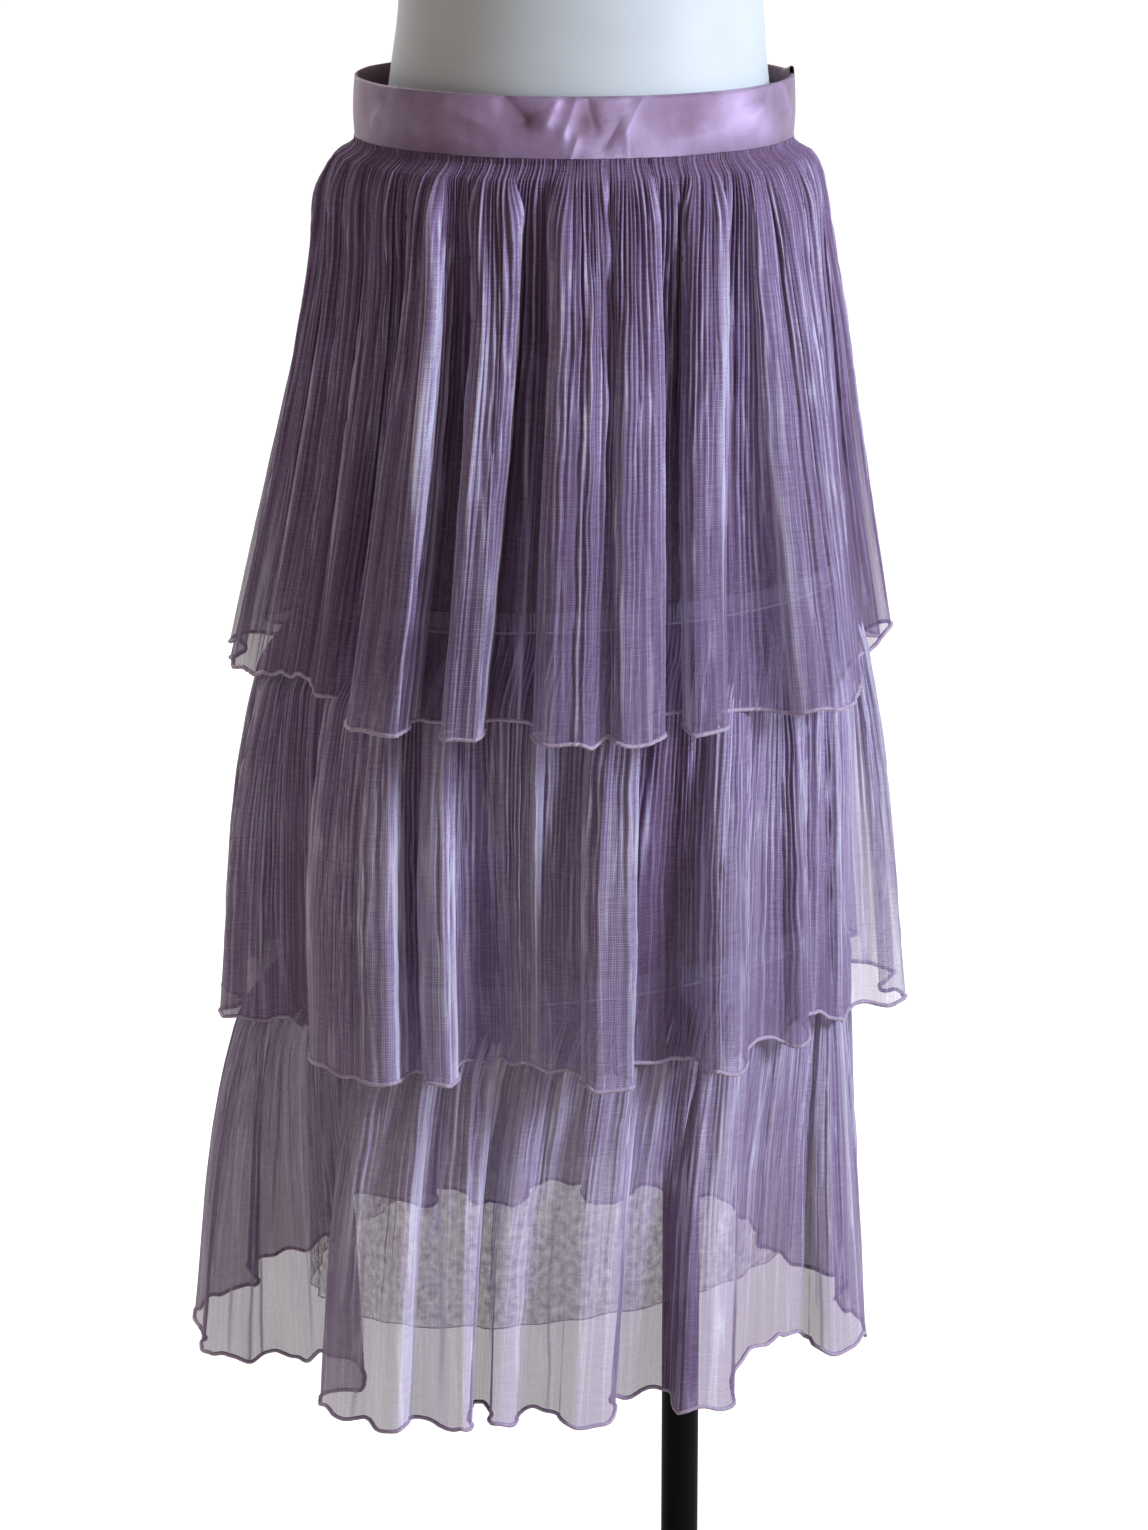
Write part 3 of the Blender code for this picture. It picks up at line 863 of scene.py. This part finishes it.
tierThree = {
    **everyTier,
    "name": "tierThree",
    "nodes": ("tier_3_front", "tier_3_back"),
    "sections": [
        section(527, -4, 163, 139, 155),
        section(515, -4, 163, 139, 155),
        section(502, -12, 177, 141, 161, 0.06),
        section(465, -21, 189, 144, 173, 0.25),
        section(370, -27, 202, 160, 199, 0.7),
        section(257, -29, 211, 170, 215, 1),
    ],
    "stitchLine": 515,
    "turns": [
        turn(-90, 2, 4),
        turn(-83, -2, 14),
        turn(-76, 2, 18),
        turn(-70, -12, 18),
        turn(-65, -33, 8),
        turn(-59, -46, 12),
        turn(-53, -54, 14, 8),
        turn(-47, -50, 28, 10),
        turn(-42, -34, 24),
        turn(-37, -6, -2),
        turn(-31, 17, 3),
        turn(-27, 10, 3),
        turn(-23, 28, 12),
        turn(-19, 2, 5),
        turn(-14, 15, 14),
        turn(-10, 8, 2),
        turn(-6, -36, -10),
        turn(-1, 4, -15),
        turn(5, -19, -14),
        turn(9, -13, -17),
        turn(14, 10, -20),
        turn(18, 4, -17),
        turn(22, -34, -14, 3),
        turn(29, -33, -8, 4),
        turn(35, 0, -30),
        turn(41, 4, -22),
        turn(46, -12, -24, 6),
        turn(52, -33, -12, 16),
        turn(61, -33, -3, 16),
        turn(66, -30, 4, 8),
        turn(72, -8, -13),
        turn(78, 4, -4),
        turn(86, 2),
        turn(98, -10),
        turn(106, 0),
        turn(114, -26, 0, 6),
        turn(124, -30, 0, 6),
        turn(132, -6),
        turn(141, 14),
        turn(150, 30),
        turn(156, 22),
        turn(161, 28),
        turn(167, -16),
        turn(173, 26),
        turn(178, 28),
        turn(184, -20),
        turn(189, -22),
        turn(194, 30),
        turn(200, -6),
        turn(207, 28),
        turn(214, 30),
        turn(221, -10),
        turn(230, -30, 0, 4),
        turn(238, -14),
        turn(246, -10),
        turn(253, -26),
        turn(261, -4),
    ],
    "creases": [
        crease(-72, 0.1, 1.1, 1.6, 3.0, 1),
        crease(-56, 0.2, 1.0, 1.6, 2.5),
        crease(-40, 0.1, 0.9, 1.5, 3.0, -1),
        crease(-29, 0.3, 1.1, 1.2, 2.5),
        crease(-17, 0.2, 1.0, 1.3, 3.0, 1),
        crease(-3, 0.1, 0.9, 1.3, 2.5),
        crease(7, 0.3, 1.1, 1.3, 2.5, 1),
        crease(20, 0.1, 0.9, 1.4, 3.0),
        crease(38, 0.2, 1.0, 1.4, 2.5),
        crease(49, 0.1, 0.9, 1.4, 2.5, 1),
        crease(64, 0.2, 1.0, 1.6, 2.5, 1),
        crease(76, 0.1, 1.1, 1.6, 2.5, 1),
    ],
    "rows": 54,
    "pleats": 460,
    "pleatDepth": 1.7,
    "pleatEnds": (0.35, 1.0),
    "pleatLeft": 0.15,
    "hemOpened": 0.85,
    "pleatTone": 0.4,
    "bundleDepth": 2.8,
    "tone": (0.62, 0.38),
    "edgeTone": 0.3,
    "headerTone": 0.5,
    "coverTop": 0.79,
    "coverHem": 0.73,
    "thin": [],
    "paintedShadingPatches": [(-30, 14, 0.1), (-70, 14, -0.1), (5, 14, 0.06), (50, 18, -0.12)],
    "hemWave": 2.0,
    "squareness": 1.25,
    "overlap": 2.0,
    "cut": (0.92, 0.285),
    "seed": 52,
}

print("skirt: cutting the lining and the three tiers")
liningPieces = makeLining()
for (piece, hem), node in zip(liningPieces, ("lining_front", "lining_back")):
    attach(piece, "root")
    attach(hem, "root")
    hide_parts(node)
for tier in (tierOne, tierTwo, tierThree):
    carriers = ("satinBand", "satinBand") if tier is tierOne else ("liningFront", "liningBack")
    for (piece, trims), node, carrier in zip(makeTier(tier), tier["nodes"], carriers):
        for part in [piece] + trims:
            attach(part, "root")
        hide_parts(node)

# The waistband is one strip of satin folded over a stiffener, open at the right side
bandCrease = namedtuple("bandCrease", "fromAcross fromUp toAcross toUp width height")
waistband = {
    "bottom": 1014.0,
    "height": 36.0,
    "wall": 2.6,
    "outline": section(1014, 0, 129.5, 95.5, 86.5),
    "opening": 3.0,
    "endLift": 4.0,         # millimetres, at the top of the back end
    "endSpan": 14,          # degrees over which that lift dies away
    "columns": 720,
    "rowsOutside": 26,
    "cut": (0.735, 0.078),
    "puff": 0.7,            # how far the middle of the outside swells
    "tone": 0.27,
    # painted highlight where the creases stand out
    "creaseTone": 0.2,
    "insideTone": -0.2,     # the inside lies in shade
    # patches of painted highlight and painted shade on the satin: middle across and up, half width and
    # height, tone
    "paintedSheenAndShade": [
        (104, 22, 17, 15, 0.85),
        (124, 8, 9, 9, 0.45),
        (84, 10, 10, 8, 0.25),
        (-10, 30, 3.5, 10, 0.55),
        (-4, 12, 2.5, 10, 0.35),
        (31, 28, 5, 12, 0.5),
        (-44, 30, 4, 7, 0.4),
        (66, 18, 14, 14, -0.12),
        (-95, 18, 34, 18, -0.2),
        (-26, 22, 9, 7, -0.3),
        (6, 20, 4, 10, -0.3),
        (250, 20, 30, 12, 0.3),
    ],
    # millimetres across from the front's middle and up from the lower edge
    "creases": [
        bandCrease(-8, 38, -16, 20, 3.4, 1.3),
        bandCrease(2, 36, -6, 14, 2.6, 1.0),
        bandCrease(2, 12, -2, 0, 2.2, 0.7),
        bandCrease(-40, 36, -27, 22, 4.6, -1.1),
        bandCrease(-27, 22, -13, 30, 3.4, -0.9),
        bandCrease(8, 34, 12, 18, 3.6, -0.9),
        bandCrease(42, 38, 30, 16, 5.0, 1.3),
        bandCrease(30, 18, 32, 0, 3.6, 0.8),
        bandCrease(18, 8, 26, 20, 3.2, -0.7),
        bandCrease(92, 34, 112, 18, 8.0, 1.6),
        bandCrease(106, 24, 122, 27, 3.0, -1.4),
        bandCrease(-112, 34, -132, 14, 4.0, 1.8),
        bandCrease(-106, 38, -120, 28, 4.0, -1.4),
        bandCrease(-74, 28, -50, 18, 7.0, 1.0),
        bandCrease(-96, 12, -60, 8, 8.0, 0.8),
        bandCrease(58, 10, 90, 12, 7.0, 0.9),
        bandCrease(138, 38, 150, 18, 4.0, 1.6),
        bandCrease(196, 34, 212, 14, 5.0, 1.6),
        bandCrease(238, 30, 220, 8, 4.5, -1.4),
        bandCrease(262, 36, 286, 18, 5.5, 1.5),
        bandCrease(318, 32, 302, 6, 4.5, -1.3),
        bandCrease(340, 36, 354, 16, 5.0, 1.6),
        bandCrease(-208, 36, -194, 18, 5.0, 1.5),
        bandCrease(-246, 28, -230, 6, 4.6, -1.3),
        bandCrease(-292, 36, -274, 14, 5.2, 1.4),
    ],
}


def bandRelief(across, up, length):
    # How far the creases stand out along one row of the band's outside
    relief = np.zeros_like(across)
    for mark in waistband["creases"]:
        for turnRound in (0, length, -length):
            startX, endX = mark.fromAcross + turnRound, mark.toAcross + turnRound
            run, rise = endX - startX, mark.toUp - mark.fromUp
            along = ((across - startX) * run + (up - mark.fromUp) * rise) / (run**2 + rise**2)
            inside = np.clip(along, 0, 1)
            away = np.hypot(across - startX - run * inside, up - mark.fromUp - rise * inside)
            relief = relief + mark.height * np.exp(-np.abs(away / mark.width) ** 1.3)
    return relief


def makeWaistband():
    band = waistband
    halfOpening = math.degrees(0.5 * band["opening"] / band["outline"].side)
    bearings = np.linspace(90 + halfOpening, 450 - halfOpening, band["columns"] + 1)
    x, y, outward, _ = outlinePoints(np.array([band["outline"]], float), bearings)
    steps = np.hypot(np.diff(x[0]), np.diff(y[0]))
    across = np.concatenate(([0], np.cumsum(steps)))
    across = across - np.interp(360, bearings, across)
    lift = band["endLift"] * smoothStep(1 - (bearings - bearings[0]) / band["endSpan"])

    # The profile goes up the outside, over the folded top and down the inside
    half = 0.5 * band["wall"]
    fold = half / band["height"]
    profile = [(half, share * (1 - fold)) for share in np.linspace(0, 1, band["rowsOutside"])]
    for step in range(1, 6):
        angle = math.pi * step / 6
        profile.append((half * math.cos(angle), 1 - fold * (1 - math.sin(angle))))
    profile += [(-half, share * (1 - fold)) for share in np.linspace(1, 0, 9)]
    grid = np.zeros((len(profile), len(bearings), 3))
    tone = np.zeros(grid.shape[:2])
    for row, (out, share) in enumerate(profile):
        up = share * band["height"]
        relief = 0.35 * unevenness(bearings, 9, 71)
        relief = relief + 0.2 * np.sin(up / 7 + 2 * unevenness(bearings, 14, 72))
        if out > -half:
            relief = relief + bandRelief(across, up, steps.sum())
        puff = band["puff"] * math.sin(math.pi * min(share, 1)) if out > 0 else 0
        reach = out + puff + relief * (0.4 if out < half else 1.0)
        grid[row, :, 0] = x[0] + outward[0][0] * reach
        grid[row, :, 1] = y[0] + outward[1][0] * reach
        grid[row, :, 2] = band["bottom"] + up + lift * share
        # Painted sheen and painted shade: lighter where the creases stand out and in the listed
        # patches, darker in others
        paintedSheenAndShade = band["tone"] + band["creaseTone"] * relief
        for middle, height, halfWidth, halfHeight, amount in band["paintedSheenAndShade"]:
            distance = ((across - middle) / halfWidth) ** 2 + ((up - height) / halfHeight) ** 2
            paintedSheenAndShade = paintedSheenAndShade + amount * np.exp(-distance)
        tone[row] = paintedSheenAndShade if out > 0 else band["insideTone"]
    return clothGrid("satinBand", grid[::-1], band["cut"], {"crest": tone[::-1]}, satinCloth())


def satinCloth():
    look = {
        "shade": (0.19, 0.105, 0.20, 1),
        "light": (0.56, 0.41, 0.72, 1),
        "threadCell": (0.35, 0.35),
        "creaseCell": (10, 7),
        "cloudCell": (9, 20),
        "cloudTone": 0.5,
        "bump": 0.55,
        "bumpDepth": 1.4,
    }
    sockets = {
        "Roughness": 0.34,
        "Anisotropic": 0.35,
        "Metallic": 0.25,
        "Sheen Weight": 0.35,
        "Specular IOR Level": 0.65,
    }
    material, tree, shader = newMaterial("waistbandSatin", sockets)
    clouds = clothNoise(tree, look["cloudCell"], 4.0)
    tone = addAbove(tree, attributeNode(tree, "crest"), clouds, look["cloudTone"], 0.5)
    colour = tree.nodes.new("ShaderNodeMix")
    colour.data_type = "RGBA"
    colour.clamp_factor = False
    colour.inputs["A"].default_value = look["shade"]
    colour.inputs["B"].default_value = look["light"]
    tree.links.new(tone, colour.inputs["Factor"])
    tree.links.new(colour.outputs["Result"], shader.inputs["Base Color"])
    weave = tree.nodes.new("ShaderNodeTexWave")
    weave.bands_direction = "DIAGONAL"
    weave.inputs["Scale"].default_value = 0.5
    weave.inputs["Distortion"].default_value = 0.6
    tree.links.new(cutCoordinates(tree, look["threadCell"]), weave.inputs["Vector"])
    creases = clothNoise(tree, look["creaseCell"], 5.0)
    relief = mathNode(tree, "MULTIPLY_ADD", weave.outputs["Fac"], 0.12, creases)
    bumpOn(tree, shader, relief, look["bump"], look["bumpDepth"])
    return material


print("skirt: folding the waistband")
band = makeWaistband()
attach(band, "root")
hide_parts("waistband")

# The dress form is smooth and limbless, from below the hips to just above the waist
dressForm = {
    "outline": [
        section(1176.4, 4, 3, 3, 3),
        section(1176, 4, 48, 34, 33),
        section(1172, 4, 80, 58, 56),
        section(1163, 4, 97, 73, 70),
        section(1150, 4, 104, 80, 77),
        section(1125, 4, 106, 82, 79),
        section(1087, 4, 108.5, 86, 80),
        section(1050, 3, 112.5, 91, 82.5),
        section(1014, 3, 117.5, 93.7, 84.7),
        section(1008, 3, 118.5, 93.9, 84.9),
        section(990, 3, 122, 95.4, 89),
        section(950, 2, 132, 100.5, 108),
        section(900, 2, 142, 106, 124),
        section(850, 1, 148, 110, 133),
        section(790, 1, 149, 111, 134),
        section(720, 1, 146, 109, 129),
        section(640, 1, 140, 105, 121),
        section(560, 2, 134, 101, 113),
        section(506, 2, 128, 96, 106),
        section(492, 2, 122, 91, 100),
        section(485.6, 2, 112, 82, 90),
    ],
    "columns": 144,
    "rowsBetween": 4,
    "skin": {
        "colour": (0.63, 0.69, 0.75, 1),
        "roughness": 0.5,
        "mottle": 0.05,
        "grain": 700.0,
        "relief": 0.15,
        "gloss": 0.4,
    },
}


def plainFinish(name, look):
    # A smooth surface with faint clouds of tone and a fine grain
    material, tree, shader = newMaterial(
        name, {"Roughness": look["roughness"], "Specular IOR Level": look["gloss"]}
    )
    place = tree.nodes.new("ShaderNodeNewGeometry").outputs["Position"]
    dark = tuple((1 - look["mottle"]) * value for value in look["colour"][:3]) + (1,)
    colourRamp(tree, noiseNode(tree, place, 38.0, 5.0), shader, (0.3, dark), (0.7, look["colour"]))
    bumpOn(tree, shader, noiseNode(tree, place, look["grain"], 2.0), 0.35, look["relief"])
    return material


def makeDressForm():
    knots = [row.height for row in dressForm["outline"]]
    places = np.linspace(0, len(knots) - 1, (len(knots) - 1) * dressForm["rowsBetween"] + 1)
    heights = np.interp(places, np.arange(len(knots)), knots)
    rows = readTable(dressForm["outline"], heights)
    bearings = np.arange(dressForm["columns"]) * 360 / dressForm["columns"]
    x, y, _, _ = outlinePoints(rows, bearings)
    count = len(bearings)
    points = np.stack((x, y, np.repeat(heights[:, None], count, axis=1)), axis=-1).reshape(-1, 3) * mm
    faces = []
    for row in range(len(heights) - 1):
        for column in range(count):
            after = (column + 1) % count
            upper, lower = row * count, (row + 1) * count
            faces.append((upper + column, lower + column, lower + after, upper + after))
    faces.append(tuple(range(count)))
    faces.append(tuple(reversed(range((len(heights) - 1) * count, len(heights) * count))))
    mesh = bpy.data.meshes.new("dressForm")
    mesh.from_pydata(points.tolist(), [], faces)
    mesh.shade_smooth()
    mesh.set_sharp_from_angle(angle=math.radians(50))
    return newPiece("dressForm", mesh, plainFinish("formSkin", dressForm["skin"]))


stand = {
    "poleX": 68.0,
    "poleRadius": 11.8,
    "poleTop": 485.3,
    "baseRadius": 160.0,
    "baseHeight": 8.0,
    "edge": 3.0,
    "footHeight": 2.5,
    "footFlare": 1.8,
    "footGap": 0.3,         # between the pole and the plate
    "steps": 96,
    "bevel": 0.5,
    "paint": {
        "colour": (0.0025, 0.0028, 0.0028, 1),
        "roughness": 0.5,
        "mottle": 0.25,
        "grain": 500.0,
        "relief": 0.1,
        "gloss": 0.05,
    },
}


def turned(name, profile, material):
    # A round piece from its profile, top to bottom, in millimetres
    mesh = bpy.data.meshes.new(name)
    points = [(x * mm, 0, z * mm) for x, z in profile]
    mesh.from_pydata(points, [(index, index + 1) for index in range(len(points) - 1)], [])
    piece = newPiece(name, mesh, material)
    turning = piece.modifiers.new("Turning", "SCREW")
    turning.steps = stand["steps"]
    turning.render_steps = stand["steps"]
    turning.use_merge_vertices = True
    turning.merge_threshold = 0.0001
    turning.use_smooth_shade = True
    bevel = piece.modifiers.new("Edges", "BEVEL")
    bevel.width = stand["bevel"] * mm
    bevel.segments = 2
    bevel.limit_method = "ANGLE"
    bevel.angle_limit = math.radians(50)
    bevel.harden_normals = True
    return piece


def makeStand():
    paint = plainFinish("blackPaint", stand["paint"])
    radius, edge, height = stand["baseRadius"], stand["edge"], stand["baseHeight"]
    baseProfile = [(0, height)]
    for angle in np.radians(range(0, 91, 15)):
        out, down = edge * (1 - math.sin(angle)), edge * (1 - math.cos(angle))
        baseProfile.append((radius - out, height - down))
    baseProfile += [(radius, 0), (0, 0)]
    base = turned("standBase", baseProfile, paint)
    poleRadius, foot = stand["poleRadius"], height + stand["footGap"]
    poleProfile = [
        (0, stand["poleTop"]),
        (poleRadius, stand["poleTop"]),
        (poleRadius, foot + stand["footHeight"]),
        (poleRadius + 0.6, foot + 1.0),
        (poleRadius + stand["footFlare"], foot),
        (0, foot),
    ]
    pole = turned("standPole", poleProfile, paint)
    pole.location.x = stand["poleX"] * mm
    return pole, base


print("skirt: standing it on its form")
form = makeDressForm()
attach(form, "root")
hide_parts("dress_form")
for piece, node in zip(makeStand(), ("stand_pole", "stand_base")):
    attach(piece, "root")
    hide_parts(node)

# The studio: a wide pale floor, soft light from the right and a camera above waist height
studio = {
    "floorSize": 160.0,
    "floorColour": (0.5, 0.5, 0.5, 1),
    "floorGlow": 0.90,
    "skyColour": (1.0, 0.85, 0.75, 1),
    "skyStrength": 0.32,
    # place, width, power and colour of each soft light
    "lamps": {
        "keyLight": ((2.8, -1.35, 2.1), 1.1, 131.0, (0.82, 0.90, 1.0)),
        "backLight": ((-1.9, 2.6, 2.3), 1.6, 50.0, (1.0, 0.97, 0.95)),
    },
    "aim": (0, 0, 0.72),
    "cameraPlace": (0, -2.9703, 1.4737),
    "cameraPitch": 16.0,
    "cameraLens": 117.65,
}


def pointAt(item, target):
    away = np.array(target) - np.array(item.location)
    flat = math.hypot(away[0], away[1])
    item.rotation_euler = (math.atan2(flat, -away[2]), 0, math.atan2(-away[0], away[1]))


def makeStudio():
    scene = bpy.context.scene
    bpy.ops.mesh.primitive_plane_add(size=studio["floorSize"])
    floor = bpy.context.object
    floor.name = "studioFloor"
    sockets = {
        "Base Color": studio["floorColour"],
        "Roughness": 0.9,
        "Specular IOR Level": 0.0,
        "Emission Color": (1, 1, 1, 1),
        "Emission Strength": studio["floorGlow"],
    }
    material, _, _ = newMaterial("paleFloor", sockets)
    floor.data.materials.append(material)
    floor.visible_diffuse = False       # it shows white, and throws no light up the skirt

    world = scene.world or bpy.data.worlds.new("studio")
    scene.world = world
    world.use_nodes = True
    sky = world.node_tree.nodes["Background"]
    sky.inputs["Color"].default_value = studio["skyColour"]
    sky.inputs["Strength"].default_value = studio["skyStrength"]

    for name, (place, size, power, colour) in studio["lamps"].items():
        lamp = bpy.data.lights.new(name, "AREA")
        lamp.shape = "SQUARE"
        lamp.size = size
        lamp.energy = power
        lamp.color = colour
        light = bpy.data.objects.new(name, lamp)
        light.location = place
        scene.collection.objects.link(light)
        pointAt(light, studio["aim"])

    lens = bpy.data.cameras.new("camera")
    lens.lens = studio["cameraLens"]
    camera = bpy.data.objects.new("camera", lens)
    camera.location = studio["cameraPlace"]
    camera.rotation_euler = (math.radians(90 - studio["cameraPitch"]), 0, 0)
    scene.collection.objects.link(camera)
    scene.camera = camera
    scene.view_settings.view_transform = "Standard"
    scene.cycles.transparent_max_bounces = 96


print("skirt: lighting the studio")
makeStudio()

print("skirt: done")
